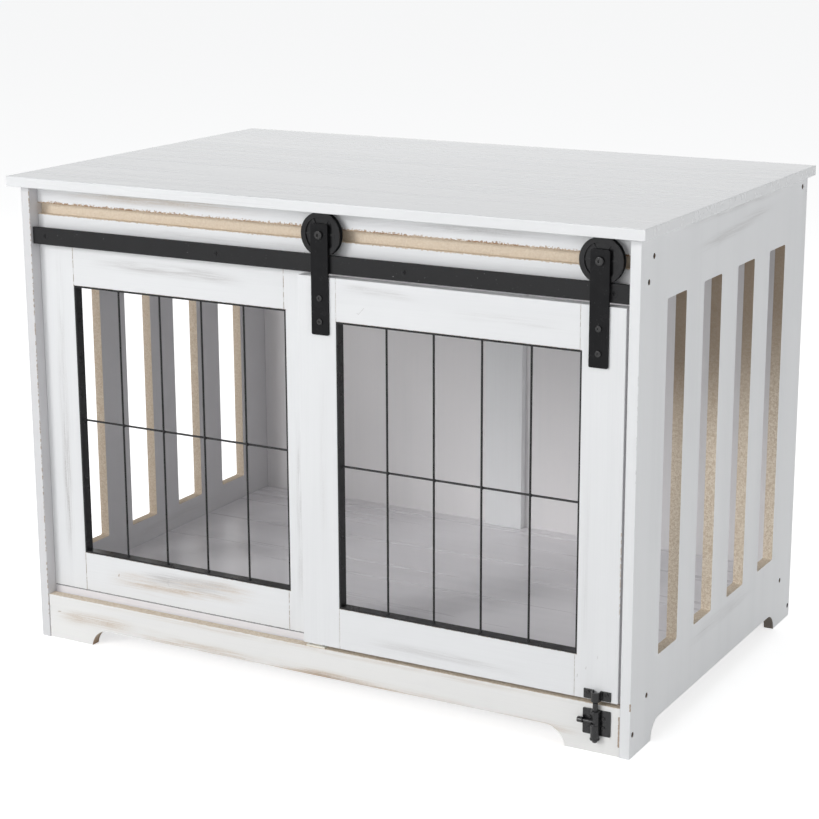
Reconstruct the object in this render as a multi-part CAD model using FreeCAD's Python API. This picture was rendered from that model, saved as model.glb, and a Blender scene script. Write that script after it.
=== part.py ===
import FreeCAD, Part
import math
import os

# Dog crate that serves as an end table: a painted board cabinet with slotted ends,
# a fixed barred panel on the left and a barred barn door that rolls on a flat track.
# Millimetres. X runs to the right, Y to the back, Z up; the front faces -Y.
# The origin is on the ground under the middle of the top panel.

# ---- Overall ---------------------------------------------------------------------
table_length = 1000.0
table_depth = 650.0
table_height = 710.0
side_overhang = 12.0          # top panel past each side panel
front_overhang = 18.0         # top panel past the side panels' front edges

# ---- Boards ----------------------------------------------------------------------
top_thickness = 15.0
side_thickness = 15.0
floor_thickness = 15.0
back_thickness = 15.0
header_thickness = 15.0
apron_thickness = 15.0
plinth_thickness = 15.0
stretcher_thickness = 15.0
post_thickness = 15.0
panel_thickness = 15.0        # fixed front panel
door_thickness = 15.0
edge_ease = 0.6               # broken edges of every board
top_edge_round = 1.2

# ---- Side panels -----------------------------------------------------------------
slot_count = 4
slot_width = 66.0
slot_pitch = 128.5
slot_bottom = 118.0           # above the ground
slot_top_margin = 91.0        # below the underside of the top panel
slot_corner = 3.0
side_foot = 72.0              # length of each foot along Y
side_arch_height = 27.0
side_arch_reach = 27.0        # length of the curve from foot to arch top

# ---- Front and rear low boards ---------------------------------------------------
apron_height = 69.0
apron_recess = 1.5            # behind the side panels' front edges
apron_foot = 79.5             # length of each foot along X
apron_arch_height = 26.5
apron_arch_reach = 30.0

# ---- Floor, back and upper rails -------------------------------------------------
floor_clearance = 65.0        # ground to the underside of the floor
header_recess = 19.0          # header face behind the side panels' front edges
header_height = 85.0
groove_rise = 42.0            # bottom edge of the groove above the header's lower edge
groove_height = 16.0
groove_depth = 9.0
front_stretcher_height = 56.0
rear_stretcher_height = 30.0
post_width = 66.6
back_joint_gap = 0.5          # between the two back boards, behind the post

# ---- Barred frames ---------------------------------------------------------------
fixed_panel_width = 486.0
stile_width = 60.0
rail_width = 60.0
stile_lip = 3.0               # right stiles reach this far past the opening at the rails
band_thickness = 2.5          # flat steel lining of each opening
wire_radius = 1.5
wire_count = 4
wire_setback = 7.5            # upright wires' centres behind the panel face
wire_weld_overlap = 0.2       # how far crossing wires sink into each other

# ---- Track and door --------------------------------------------------------------
track_drop = 0.5              # track's lower edge below the header's lower edge
track_height = 25.0
track_thickness = 5.0
track_standoff = 9.5          # header face to the back of the track
track_end_gap = 0.5
door_overlap = 29.0           # door's left edge past the fixed panel's right edge
door_end_gap = 4.0            # door to side panel, at each end of its travel
door_apron_gap = 5.0
door_track_gap = 4.5
strap_track_gap = 2.5         # strap's back face in front of the track
strap_inset = 36.5            # strap's centre line from the door's edge
strap_width = 26.6
strap_thickness = 3.0
strap_drop = 80.0             # below the door's top edge
strap_rise = 72.0             # above it
strap_corner = 2.0
guide_groove_width = 5.0
guide_groove_depth = 8.0

# ---- Wheels ----------------------------------------------------------------------
tread_radius = 28.0           # rolls on the track's upper edge
flange_radius = 30.5
wheel_width = 8.8
flange_track_gap = 0.5        # each flange to the track's face
rolling_gap = 0.1
rim_inner_radius = 23.5
hub_radius = 10.0
web_recess = 2.2              # web below the rim, on both faces
rib_count = 6
rib_width = 2.4
rib_height = 1.3
bush_outer_radius = 6.0
axle_radius = 4.0
axle_head_radius = 6.0
axle_head_height = 3.2
axle_socket_flats = 4.0
washer_radius = 7.5
washer_thickness = 0.5
nut_flats = 11.0
nut_thickness = 3.6
axle_tail = 0.6               # bolt past its nut
axial_play = 0.1
running_clearance = 0.06      # radius of a bore over the radius of its shaft
fit_clearance = 0.03          # the same for parts that don't turn

# ---- Latch -----------------------------------------------------------------------
latch_inset = 29.0            # bolt's axis from the door's right edge
latch_plate_width = 40.0
latch_plate_height = 36.0
latch_plate_drop = 7.0        # plate's top below the apron's top
latch_plate_thickness = 1.5
plate_corner = 1.5
barrel_wall = 2.4
barrel_tail = 5.0             # barrel below the plate
bolt_radius = 3.6
bolt_standoff = 4.6           # bolt's axis in front of the plate
bolt_throw = 10.0
bolt_tail = 3.5               # bolt below the barrel, when drawn
bolt_keeper_gap = 1.5         # bolt's tip below the keeper, when drawn
bolt_clearance = 0.1
bolt_tip_chamfer = 0.8
neck_radius = 2.0             # turned-down length that carries the knob's ring
ring_height = 7.0
knob_drop = 16.0              # knob's centre below the plate's top, when drawn
knob_stem_radius = 1.8
knob_radius = 4.0
knob_length = 8.0
knob_reach = 25.4             # bolt's axis to the knob's end
knob_round = 1.0
window_clearance = 0.4
keeper_width = 39.0
keeper_height = 13.3
keeper_thickness = 1.5
keeper_rise = 1.6             # keeper's lower edge above the door's
keeper_clearance = 1.1        # around the bolt

# ---- Floor guide -----------------------------------------------------------------
guide_shift = 3.0             # guide's centre to the right of the doors' common stretch
guide_base_length = 30.0
guide_base_thickness = 2.0
guide_base_inset = 1.5        # from each face of the apron
guide_fin_length = 14.0
guide_fin_thickness = 2.5
guide_fin_gap = 2.0           # below the top of the door's groove

# ---- Fasteners -------------------------------------------------------------------
side_screw_radius = 2.5
side_screw_length = 42.0
side_screw_head_radius = 3.8
side_screw_head_height = 2.5
side_screw_sink = 1.6         # head's face below the side panel's face
side_screw_socket = 4.0
floor_screw_inset = 35.0
header_screw_rise = 26.0      # above the header's lower edge
stretcher_screw_rise = 28.0   # above the front stretcher's lower edge
apron_screw_height = 33.0
plinth_screw_height = 18.0
back_screw_radius = 2.0
back_screw_length = 27.0
back_screw_head_radius = 4.0
back_screw_inset = 53.0       # from the side panels
post_screw_inset = 13.0       # from the post's edges
track_screw_radius = 3.0
track_screw_head_radius = 5.5
track_screw_bite = 12.0       # into the header
track_screw_inset = 22.5      # from the track's ends
track_screw_count = 4
spacer_radius = 7.0
strap_screw_radius = 2.0
strap_screw_bite = 11.0       # into the door
strap_screw_head_radius = 4.4
strap_screw_head_height = 2.0
strap_screw_socket = 2.5
strap_screw_first = 29.0      # below the door's top edge
strap_screw_pitch = 32.5
plate_screw_radius = 1.3
plate_screw_bite = 9.0
plate_screw_head_radius = 2.6
plate_screw_head_height = 1.2
plate_screw_spread = 10.0     # each side of the bolt's axis
plate_screw_pitch = 13.0
keeper_screw_spread = 13.5
keeper_screw_drop = 4.4       # below the keeper's upper edge
keeper_screw_bite = 4.0
band_screw_radius = 1.5
band_screw_head_radius = 2.9
band_screw_bite = 14.0
guide_screw_radius = 1.5
guide_screw_head_radius = 2.6
guide_screw_bite = 12.0
guide_screw_inset = 4.0
dowel_radius = 4.0
dowel_reach = 15.0            # into each board
dowel_spacing = 24.0
pin_dowel_radius = 3.0
pin_dowel_reach = 10.0
pin_dowel_inset = 12.0        # from the seam of stile and rail
cam_radius = 7.5
cam_depth = 12.5
cam_drop = 34.0               # cam's centre below the top of the side panel
cam_inset = 120.0             # from the side panel's front and rear edges
cam_pin_radius = 3.0
cam_pin_bite = 11.0           # into the top panel
cam_slot_gap = 0.4

# ---- Planes that follow ----------------------------------------------------------
side_outer = table_length / 2 - side_overhang
side_inner = side_outer - side_thickness
front = -table_depth / 2 + front_overhang
rear = table_depth / 2
under_top = table_height - top_thickness
back_face = rear - back_thickness
plinth_face = rear - plinth_thickness
floor_top = floor_clearance + floor_thickness
header_face = front + header_recess
header_bottom = under_top - header_height
apron_face = front + apron_recess
track_bottom = header_bottom - track_drop
track_top = track_bottom + track_height
track_back = header_face - track_standoff
track_face = track_back - track_thickness
track_end = side_inner - track_end_gap
fixed_right = -side_inner + fixed_panel_width
door_left = fixed_right - door_overlap
door_right = side_inner - door_end_gap
door_bottom = apron_height + door_apron_gap
door_top = track_bottom - door_track_gap
door_face = track_face - strap_track_gap
door_middle = door_face + door_thickness / 2
door_travel = door_left + side_inner - door_end_gap
post_face = back_face - post_thickness
strap_face = door_face - strap_thickness
strap_top = door_top + strap_rise
strap_centres = (door_left + strap_inset, door_right - strap_inset)
axle_height = track_top + rolling_gap + tread_radius
wheel_middle = track_back - track_thickness / 2
latch_x = door_right - latch_inset
plate_face = apron_face - latch_plate_thickness
plate_top = apron_height - latch_plate_drop
plate_bottom = plate_top - latch_plate_height
bolt_y = plate_face - bolt_standoff
bolt_bore = bolt_radius + bolt_clearance
keeper_bottom = door_bottom + keeper_rise
bolt_top = keeper_bottom - bolt_keeper_gap
bolt_bottom = plate_bottom - barrel_tail - bolt_tail
knob_height = plate_top - knob_drop
guide_x = (door_left + door_right - door_travel) / 2 + guide_shift

OUTWARD = {
    "left": FreeCAD.Vector(-1, 0, 0),
    "right": FreeCAD.Vector(1, 0, 0),
    "front": FreeCAD.Vector(0, -1, 0),
    "back": FreeCAD.Vector(0, 1, 0),
    "up": FreeCAD.Vector(0, 0, 1),
}


# ---- Basic shapes ----------------------------------------------------------------
def point(x, y, z):
    return FreeCAD.Vector(x, y, z)


def box(x0, x1, y0, y1, z0, z1):
    return Part.makeBox(x1 - x0, y1 - y0, z1 - z0, point(x0, y0, z0))


def board(x0, x1, y0, y1, z0, z1):
    """A box with every edge broken, as on a cut and sanded board."""
    solid = box(x0, x1, y0, y1, z0, z1)
    return solid.makeChamfer(edge_ease, solid.Edges)


def rod(start, end, radius):
    run = end - start
    return Part.makeCylinder(radius, run.Length, start, run)


def ring(start, end, outer, inner):
    return rod(start, end, outer).cut(rod(start, end, inner))


def placed(shape, position, outward):
    """Turn a shape modelled along +Z to face outward, and move it to position."""
    moved = shape.copy()
    turn = FreeCAD.Rotation(point(0, 0, 1), outward)
    moved.Placement = FreeCAD.Placement(position, turn)
    return moved


def hexagon(flats, z0, z1):
    corner = flats / math.sqrt(3)
    angles = [math.radians(60 * step) for step in range(7)]
    outline = [point(corner * math.cos(a), corner * math.sin(a), z0) for a in angles]
    return Part.Face(Part.makePolygon(outline)).extrude(point(0, 0, z1 - z0))


def rounded_plate(width, height, thickness, corner):
    """A plate centred on X and Y that stands on Z = 0, with its four corners rounded."""
    plate = box(-width / 2, width / 2, -height / 2, height / 2, 0, thickness)
    uprights = [e for e in plate.Edges if abs(e.tangentAt(e.FirstParameter).z) > 0.9]
    return plate.makeFillet(corner, uprights)


def arch(span, height, reach, depth):
    """Cutter for a low arch: flat on top, curved down to the ground at both ends.

    It is centred on X, starts at Y = 0 and runs to Y = depth. Each curve is an arc
    that is level where it meets the flat top.
    """
    radius = (reach ** 2 + height ** 2) / (2 * height)
    half = span / 2
    turn = math.asin(min(1.0, reach / radius)) / 2

    def end_arc(sign):
        centre_x = sign * (half - reach)
        middle = point(centre_x + sign * radius * math.sin(turn), 0,
                       height - radius + radius * math.cos(turn))
        return Part.Arc(point(sign * half, 0, 0), middle, point(centre_x, 0, height)).toShape()

    top = Part.makeLine(point(-half + reach, 0, height), point(half - reach, 0, height))
    bottom = Part.makeLine(point(half, 0, 0), point(-half, 0, 0))
    outline = Part.Wire(Part.__sortEdges__([end_arc(-1), top, end_arc(1), bottom]))
    return Part.Face(outline).extrude(point(0, depth, 0))


# ---- Fasteners, modelled with their seat at Z = 0 and their shank along -Z ---------
def button_screw(head_radius, head_height, radius, length, socket):
    head = Part.makeCylinder(head_radius, head_height)
    rim = [e for e in head.Edges if e.Closed and e.CenterOfMass.z > head_height / 2]
    head = head.makeFillet(head_height * 0.45, rim)
    screw = head.fuse(Part.makeCylinder(radius, length, point(0, 0, -length)))
    return screw.cut(hexagon(socket, head_height * 0.4, head_height + 1)).removeSplitter()


def flush_screw(head_radius, radius, length, grow=0.0):
    """Countersunk screw. With grow it is the cutter for its hole, without the cross."""
    sink = head_radius - radius
    head = Part.makeCone(radius + grow, head_radius + grow, sink, point(0, 0, -sink))
    shank = Part.makeCylinder(radius + grow, length - sink + grow, point(0, 0, -length - grow))
    screw = head.fuse(shank)
    if grow:
        return screw.removeSplitter()
    arm = head_radius * 0.55
    blade = head_radius * 0.1
    cross = box(-arm, arm, -blade, blade, -sink * 0.6, 1)
    cross = cross.fuse(box(-blade, blade, -arm, arm, -sink * 0.6, 1))
    return screw.cut(cross).removeSplitter()


def sunk_screw():
    """Socket screw that joins a side panel to the end of a board."""
    head_back = -side_screw_sink - side_screw_head_height
    head = rod(point(0, 0, head_back), point(0, 0, -side_screw_sink), side_screw_head_radius)
    shank = rod(point(0, 0, -side_screw_length), point(0, 0, head_back), side_screw_radius)
    socket_floor = -side_screw_sink - side_screw_head_height * 0.6
    return head.fuse(shank).cut(hexagon(side_screw_socket, socket_floor, 0)).removeSplitter()


def sunk_hole():
    """Cutter for the same screw's counterbore and pilot hole."""
    head_back = -side_screw_sink - side_screw_head_height
    bore = rod(point(0, 0, head_back), point(0, 0, 1), side_screw_head_radius + fit_clearance)
    deep = point(0, 0, -side_screw_length - fit_clearance)
    return bore.fuse(rod(deep, point(0, 0, head_back), side_screw_radius + fit_clearance))


def side_screw_places():
    """Y and Z of the screws through each side panel, by the board that they hold."""
    return {
        "header": [(header_face + header_thickness / 2, header_bottom + header_screw_rise)],
        "front_stretcher": [(header_face + header_thickness + stretcher_thickness / 2,
                             under_top - front_stretcher_height + stretcher_screw_rise)],
        "rear_stretcher": [(back_face - stretcher_thickness / 2,
                            under_top - rear_stretcher_height / 2)],
        "floor": [(header_face + floor_screw_inset, floor_clearance + floor_thickness / 2),
                  (back_face - floor_screw_inset, floor_clearance + floor_thickness / 2)],
        "apron": [(apron_face + apron_thickness / 2, apron_screw_height)],
        "plinth": [(plinth_face + plinth_thickness / 2, plinth_screw_height)],
    }


def side_screw_set(maker, boards=None):
    """Copies of maker's shape at the side screws: {side: [shapes]}."""
    result = {"left": [], "right": []}
    for name, places in side_screw_places().items():
        if boards and name not in boards:
            continue
        for y, z in places:
            result["left"].append(placed(maker, point(-side_outer, y, z), OUTWARD["left"]))
            result["right"].append(placed(maker, point(side_outer, y, z), OUTWARD["right"]))
    return result


def with_end_holes(shape, name):
    """Bore the pilot holes for the side screws into both ends of a board."""
    cutters = side_screw_set(sunk_hole(), (name,))
    return shape.cut(cutters["left"] + cutters["right"])


# ---- Cabinet ---------------------------------------------------------------------
def cam_places():
    return (front + cam_inset, rear - cam_inset)


def cam_axis_x(sign):
    return sign * (side_inner + side_thickness / 2)


def top_panel():
    slab = box(-table_length / 2, table_length / 2, -table_depth / 2, table_depth / 2,
               under_top, table_height)
    slab = slab.makeFillet(top_edge_round, slab.Edges)
    for sign in (-1, 1):
        for y in cam_places():
            x = cam_axis_x(sign)
            slab = slab.cut(rod(point(x, y, under_top), point(x, y, under_top + cam_pin_bite),
                                cam_pin_radius + fit_clearance))
    return slab


def side_panel(side):
    sign = 1 if side == "right" else -1
    x0, x1 = sorted((sign * side_inner, sign * side_outer))
    panel = board(x0, x1, front, rear, 0, under_top)
    middle = (front + rear) / 2
    slot_length = under_top - slot_top_margin - slot_bottom
    slot = rounded_plate(slot_length, slot_width, side_thickness + 2, slot_corner)
    for index in range(slot_count):
        y = middle + (index - (slot_count - 1) / 2) * slot_pitch
        start = point(x0 - 1, y, slot_bottom + slot_length / 2)
        panel = panel.cut(placed(slot, start, OUTWARD["right"]))
    span = rear - front - 2 * side_foot
    opening = arch(span, side_arch_height, side_arch_reach, side_thickness + 2)
    opening.rotate(point(0, 0, 0), point(0, 0, 1), 90)
    opening.translate(point(x1 + 1, middle, 0))
    panel = panel.cut(opening)
    panel = panel.cut(side_screw_set(sunk_hole())[side])
    for y in cam_places():
        centre = point(sign * side_inner, y, under_top - cam_drop)
        into = point(sign * (side_inner + cam_depth), y, under_top - cam_drop)
        x = cam_axis_x(sign)
        pin_hole = rod(centre + point(x - sign * side_inner, 0, 0), point(x, y, under_top),
                       cam_pin_radius + fit_clearance)
        panel = panel.cut([rod(centre, into, cam_radius + fit_clearance), pin_hole])
    return panel


def cams():
    """Turning discs in the side panels' inner faces, slotted for their pins."""
    discs = []
    slot = cam_pin_radius + cam_slot_gap
    for sign in (-1, 1):
        for y in cam_places():
            z = under_top - cam_drop
            disc = rod(point(sign * side_inner, y, z),
                       point(sign * (side_inner + cam_depth), y, z), cam_radius)
            x = cam_axis_x(sign)
            discs.append(disc.cut(box(x - slot, x + slot, y - slot, y + slot,
                                      z, z + cam_radius + 1)))
    return Part.makeCompound(discs)


def cam_pins():
    """Steel pins that hold the top panel down to the cams."""
    pins = []
    for sign in (-1, 1):
        for y in cam_places():
            x = cam_axis_x(sign)
            foot = under_top - cam_drop + cam_slot_gap
            pins.append(rod(point(x, y, foot), point(x, y, under_top + cam_pin_bite),
                            cam_pin_radius))
    return Part.makeCompound(pins)


def floor_panel():
    panel = board(-side_inner, side_inner, header_face, back_face, floor_clearance, floor_top)
    panel = with_end_holes(panel, "floor")
    return panel.cut(back_screw_set(True) + pin_dowel_set(fit_clearance))


def header_rail():
    rail = board(-side_inner, side_inner, header_face, header_face + header_thickness,
                 header_bottom, under_top)
    low = header_bottom + groove_rise
    rail = rail.cut(box(-side_inner, side_inner, header_face - 1, header_face + groove_depth,
                        low, low + groove_height))
    rail = with_end_holes(rail, "header")
    return rail.cut(track_screw_set(True) + pin_dowel_set(fit_clearance))


def front_stretcher():
    face = header_face + header_thickness
    rail = board(-side_inner, side_inner, face, face + stretcher_thickness,
                 under_top - front_stretcher_height, under_top)
    return with_end_holes(rail, "front_stretcher")


def rear_stretcher():
    rail = board(-side_inner, side_inner, back_face - stretcher_thickness, back_face,
                 under_top - rear_stretcher_height, under_top)
    return with_end_holes(rail, "rear_stretcher").cut(back_screw_set(True))


def centre_post():
    post = board(-post_width / 2, post_width / 2, post_face, back_face,
                 floor_top, under_top - rear_stretcher_height)
    return post.cut(back_screw_set(True))


def back_panel(side):
    x0, x1 = (-side_inner, -back_joint_gap / 2)
    if side == "right":
        x0, x1 = (back_joint_gap / 2, side_inner)
    panel = board(x0, x1, back_face, rear, floor_clearance, under_top)
    return panel.cut(back_screw_set(True))


def arched_board(y0, y1, height, name):
    low_board = board(-side_inner, side_inner, y0, y1, 0, height)
    span = 2 * (side_inner - apron_foot)
    opening = arch(span, apron_arch_height, apron_arch_reach, y1 - y0 + 2)
    opening.translate(point(0, y0 - 1, 0))
    return with_end_holes(low_board.cut(opening), name)


def front_apron():
    apron = arched_board(apron_face, apron_face + apron_thickness, apron_height, "apron")
    return apron.cut(latch_screw_set(True) + guide_screw_set(True))


def rear_plinth():
    return arched_board(plinth_face, rear, floor_clearance, "plinth")


def back_screw_set(holes=False):
    """Screws through the back boards into the stretcher, the floor and the post."""
    grow = fit_clearance if holes else 0.0
    screw = flush_screw(back_screw_head_radius, back_screw_radius, back_screw_length, grow)
    near = post_width / 2 + back_screw_inset / 2
    far = side_inner - back_screw_inset
    columns = (near, (near + far) / 2, far)
    high = under_top - rear_stretcher_height / 2
    low = floor_clearance + floor_thickness / 2
    places = [(sign * x, z) for sign in (-1, 1) for x in columns for z in (low, high)]
    post_x = post_width / 2 - post_screw_inset
    third = (high - low) / 3
    places += [(sign * post_x, low + third * n) for sign in (-1, 1) for n in (1, 2)]
    return [placed(screw, point(x, rear, z), OUTWARD["back"]) for x, z in places]


# ---- Track -----------------------------------------------------------------------
def track_screw_places():
    first = track_end - track_screw_inset
    step = 2 * first / (track_screw_count - 1)
    return [(-first + step * n, track_bottom + track_height / 2)
            for n in range(track_screw_count)]


def track_screw_set(holes=False):
    grow = fit_clearance if holes else 0.0
    length = track_thickness + track_standoff + track_screw_bite
    screw = flush_screw(track_screw_head_radius, track_screw_radius, length, grow)
    return [placed(screw, point(x, track_face, z), OUTWARD["front"])
            for x, z in track_screw_places()]


def track_bar():
    bar = board(-track_end, track_end, track_face, track_back, track_bottom, track_top)
    return bar.cut(track_screw_set(True))


def track_spacers():
    return Part.makeCompound([
        ring(point(x, track_back, z), point(x, header_face, z), spacer_radius,
             track_screw_radius + fit_clearance)
        for x, z in track_screw_places()])


# ---- Barred frames: the fixed panel and the door share their construction -----------
class BarredFrame:
    """Two stiles and two rails round an opening that is lined with a barred band."""

    def __init__(self, left, right, bottom, top, face, thickness):
        self.left, self.right = left, right
        self.bottom, self.top = bottom, top
        self.face, self.back = face, face + thickness
        self.open_left = left + stile_width
        self.open_right = right - stile_width
        self.open_bottom = bottom + rail_width
        self.open_top = top - rail_width
        self.seam_right = self.open_right - stile_lip

    def dowels(self, grow=0.0):
        """Dowels across the four seams of stile and rail."""
        y = (self.face + self.back) / 2
        reach = dowel_reach + grow
        pins = []
        for x in (self.open_left, self.seam_right):
            for rail_z in (self.bottom + rail_width / 2, self.top - rail_width / 2):
                for z in (rail_z - dowel_spacing / 2, rail_z + dowel_spacing / 2):
                    pins.append(rod(point(x - reach, y, z), point(x + reach, y, z),
                                    dowel_radius + grow))
        return pins

    def band_screws(self, holes=False):
        """Countersunk screws through the band's upright sides into the stiles."""
        grow = fit_clearance if holes else 0.0
        length = band_thickness + band_screw_bite
        screw = flush_screw(band_screw_head_radius, band_screw_radius, length, grow)
        y = (self.face + self.back) / 2
        quarter = (self.open_top - self.open_bottom) / 4
        set_ = []
        for z in (self.open_bottom + quarter, self.open_top - quarter):
            set_.append(placed(screw, point(self.open_left + band_thickness, y, z),
                               OUTWARD["right"]))
            set_.append(placed(screw, point(self.open_right - band_thickness, y, z),
                               OUTWARD["left"]))
        return set_

    def stile(self, side):
        x0, x1 = (self.left, self.open_left)
        if side == "right":
            x0, x1 = (self.seam_right, self.right)
        stile = board(x0, x1, self.face, self.back, self.bottom, self.top)
        if side == "right":
            stile = stile.cut(box(x0 - 1, self.open_right, self.face - 1, self.back + 1,
                                  self.open_bottom, self.open_top))
        return stile.cut(self.dowels(fit_clearance) + self.band_screws(True))

    def rail(self, side):
        z0, z1 = (self.bottom, self.open_bottom)
        if side == "top":
            z0, z1 = (self.open_top, self.top)
        rail = board(self.open_left, self.seam_right, self.face, self.back, z0, z1)
        return rail.cut(self.dowels(fit_clearance))

    def band(self):
        outer = box(self.open_left, self.open_right, self.face, self.back,
                    self.open_bottom, self.open_top)
        inner = box(self.open_left + band_thickness, self.open_right - band_thickness,
                    self.face - 1, self.back + 1,
                    self.open_bottom + band_thickness, self.open_top - band_thickness)
        return outer.cut(inner).cut(self.band_screws(True))

    def wires(self):
        """Upright wires with one level wire welded across behind them."""
        left = self.open_left + band_thickness
        right = self.open_right - band_thickness
        low = self.open_bottom + band_thickness
        high = self.open_top - band_thickness
        y = self.face + wire_setback
        level_y = y + 2 * wire_radius - wire_weld_overlap
        middle = (low + high) / 2
        grid = rod(point(left, level_y, middle), point(right, level_y, middle), wire_radius)
        step = (right - left) / (wire_count + 1)
        for n in range(1, wire_count + 1):
            x = left + step * n
            grid = grid.fuse(rod(point(x, y, low), point(x, y, high), wire_radius))
        return grid


fixed = BarredFrame(-side_inner, fixed_right, floor_top, header_bottom,
                    header_face, panel_thickness)
door = BarredFrame(door_left, door_right, door_bottom, door_top, door_face, door_thickness)


def pin_dowel_set(grow=0.0):
    """Short dowels that stand the fixed panel on the floor and hold it to the header."""
    y = (fixed.face + fixed.back) / 2
    reach = pin_dowel_reach + grow
    return [rod(point(x, y, z - reach), point(x, y, z + reach), pin_dowel_radius + grow)
            for x in (fixed.open_left - pin_dowel_inset, fixed.open_right + pin_dowel_inset)
            for z in (fixed.bottom, fixed.top)]


def fixed_stile(side):
    return fixed.stile(side).cut(pin_dowel_set(fit_clearance))


def guide_groove():
    half = guide_groove_width / 2
    return box(door_left - 1, door_right + 1, door_middle - half, door_middle + half,
               door_bottom - 1, door_bottom + guide_groove_depth)


def door_stile(side):
    cutters = [guide_groove()] + strap_screw_set(True) + keeper_screw_set(True)
    return door.stile(side).cut(cutters)


def door_rail(side):
    return door.rail(side).cut(guide_groove())


# ---- Hangers and wheels ----------------------------------------------------------
def strap_screw_set(holes=False):
    places = [point(x, strap_face, door_top - strap_screw_first - strap_screw_pitch * n)
              for x in strap_centres for n in (0, 1)]
    length = strap_thickness + strap_screw_bite
    if holes:
        radius = strap_screw_radius + fit_clearance
        deep = point(0, length + fit_clearance, 0)
        return [rod(place - point(0, 1, 0), place + deep, radius) for place in places]
    screw = button_screw(strap_screw_head_radius, strap_screw_head_height,
                         strap_screw_radius, length, strap_screw_socket)
    return [placed(screw, place, OUTWARD["front"]) for place in places]


def hanger_strap(x):
    bottom = door_top - strap_drop
    plate = rounded_plate(strap_width, strap_top - bottom, strap_thickness, strap_corner)
    strap = placed(plate, point(x, door_face, (bottom + strap_top) / 2), OUTWARD["front"])
    hole = rod(point(x, strap_face - 1, axle_height), point(x, door_face + 1, axle_height),
               axle_radius + fit_clearance)
    return strap.cut([hole] + strap_screw_set(True))


def wheel(x):
    """Grooved wheel: two flanges, a tread between them, a ribbed web and a hub."""
    face = wheel_middle - wheel_width / 2
    back = wheel_middle + wheel_width / 2
    half_groove = track_thickness / 2 + flange_track_gap

    def disc(radius, y0, y1):
        return rod(point(x, y0, axle_height), point(x, y1, axle_height), radius)

    body = disc(flange_radius, face, back)
    groove = disc(flange_radius + 1, wheel_middle - half_groove, wheel_middle + half_groove)
    body = body.cut(groove.cut(disc(tread_radius, wheel_middle - half_groove,
                                    wheel_middle + half_groove)))
    for y0, y1 in ((face, face + web_recess), (back - web_recess, back)):
        body = body.cut(disc(rim_inner_radius, y0, y1).cut(disc(hub_radius, y0, y1)))
    for n in range(rib_count):
        rib = box(hub_radius - 0.5, rim_inner_radius + 0.5, 0, rib_height,
                  -rib_width / 2, rib_width / 2)
        rib.translate(point(0, face + web_recess - rib_height, 0))
        rib.rotate(point(0, 0, 0), point(0, 1, 0), 360 / rib_count * n)
        rib.translate(point(x, 0, axle_height))
        body = body.fuse(rib)
    return body.cut(disc(bush_outer_radius + fit_clearance, face - 1, back + 1)).removeSplitter()


def wheel_bush(x):
    face = wheel_middle - wheel_width / 2
    back = wheel_middle + wheel_width / 2
    return ring(point(x, face, axle_height), point(x, back, axle_height), bush_outer_radius,
                axle_radius + running_clearance)


def axle_bolts():
    nut_back = wheel_middle + wheel_width / 2 + axial_play + washer_thickness + nut_thickness
    length = nut_back + axle_tail - strap_face
    bolt = button_screw(axle_head_radius, axle_head_height, axle_radius, length,
                        axle_socket_flats)
    return Part.makeCompound([placed(bolt, point(x, strap_face, axle_height),
                                     OUTWARD["front"]) for x in strap_centres])


def axle_spacers():
    """Washers on both sides of each wheel; the front ones fill the gap to the strap."""
    face = wheel_middle - wheel_width / 2 - axial_play
    back = wheel_middle + wheel_width / 2 + axial_play
    bore = axle_radius + fit_clearance
    rings = []
    for x in strap_centres:
        for y0, y1 in ((door_face, face), (back, back + washer_thickness)):
            rings.append(ring(point(x, y0, axle_height), point(x, y1, axle_height),
                              washer_radius, bore))
    return Part.makeCompound(rings)


def axle_nuts():
    seat = wheel_middle + wheel_width / 2 + axial_play + washer_thickness
    nut = hexagon(nut_flats, 0, nut_thickness)
    nut = nut.cut(Part.makeCylinder(axle_radius + fit_clearance, nut_thickness))
    return Part.makeCompound([placed(nut, point(x, seat, axle_height), OUTWARD["back"])
                              for x in strap_centres])


# ---- Latch -----------------------------------------------------------------------
def plate_screw(bite, under_head):
    return button_screw(plate_screw_head_radius, plate_screw_head_height,
                        plate_screw_radius, under_head + bite, plate_screw_head_radius * 0.7)


def screws_or_holes(places, under_head, bite, holes):
    """Small plate screws that face the front, or the cutters for their holes."""
    if holes:
        deep = point(0, under_head + bite + fit_clearance, 0)
        radius = plate_screw_radius + fit_clearance
        return [rod(place - point(0, 1, 0), place + deep, radius) for place in places]
    screw = plate_screw(bite, under_head)
    return [placed(screw, place, OUTWARD["front"]) for place in places]


def latch_screw_set(holes=False):
    middle = (plate_top + plate_bottom) / 2
    places = [point(latch_x + side * plate_screw_spread, plate_face,
                    middle + row * plate_screw_pitch / 2)
              for side in (-1, 1) for row in (-1, 1)]
    return screws_or_holes(places, latch_plate_thickness, plate_screw_bite, holes)


def keeper_screw_set(holes=False):
    z = keeper_bottom + keeper_height - keeper_screw_drop
    places = [point(latch_x + side * keeper_screw_spread, door_face - keeper_thickness, z)
              for side in (-1, 1)]
    return screws_or_holes(places, keeper_thickness, keeper_screw_bite, holes)


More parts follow.
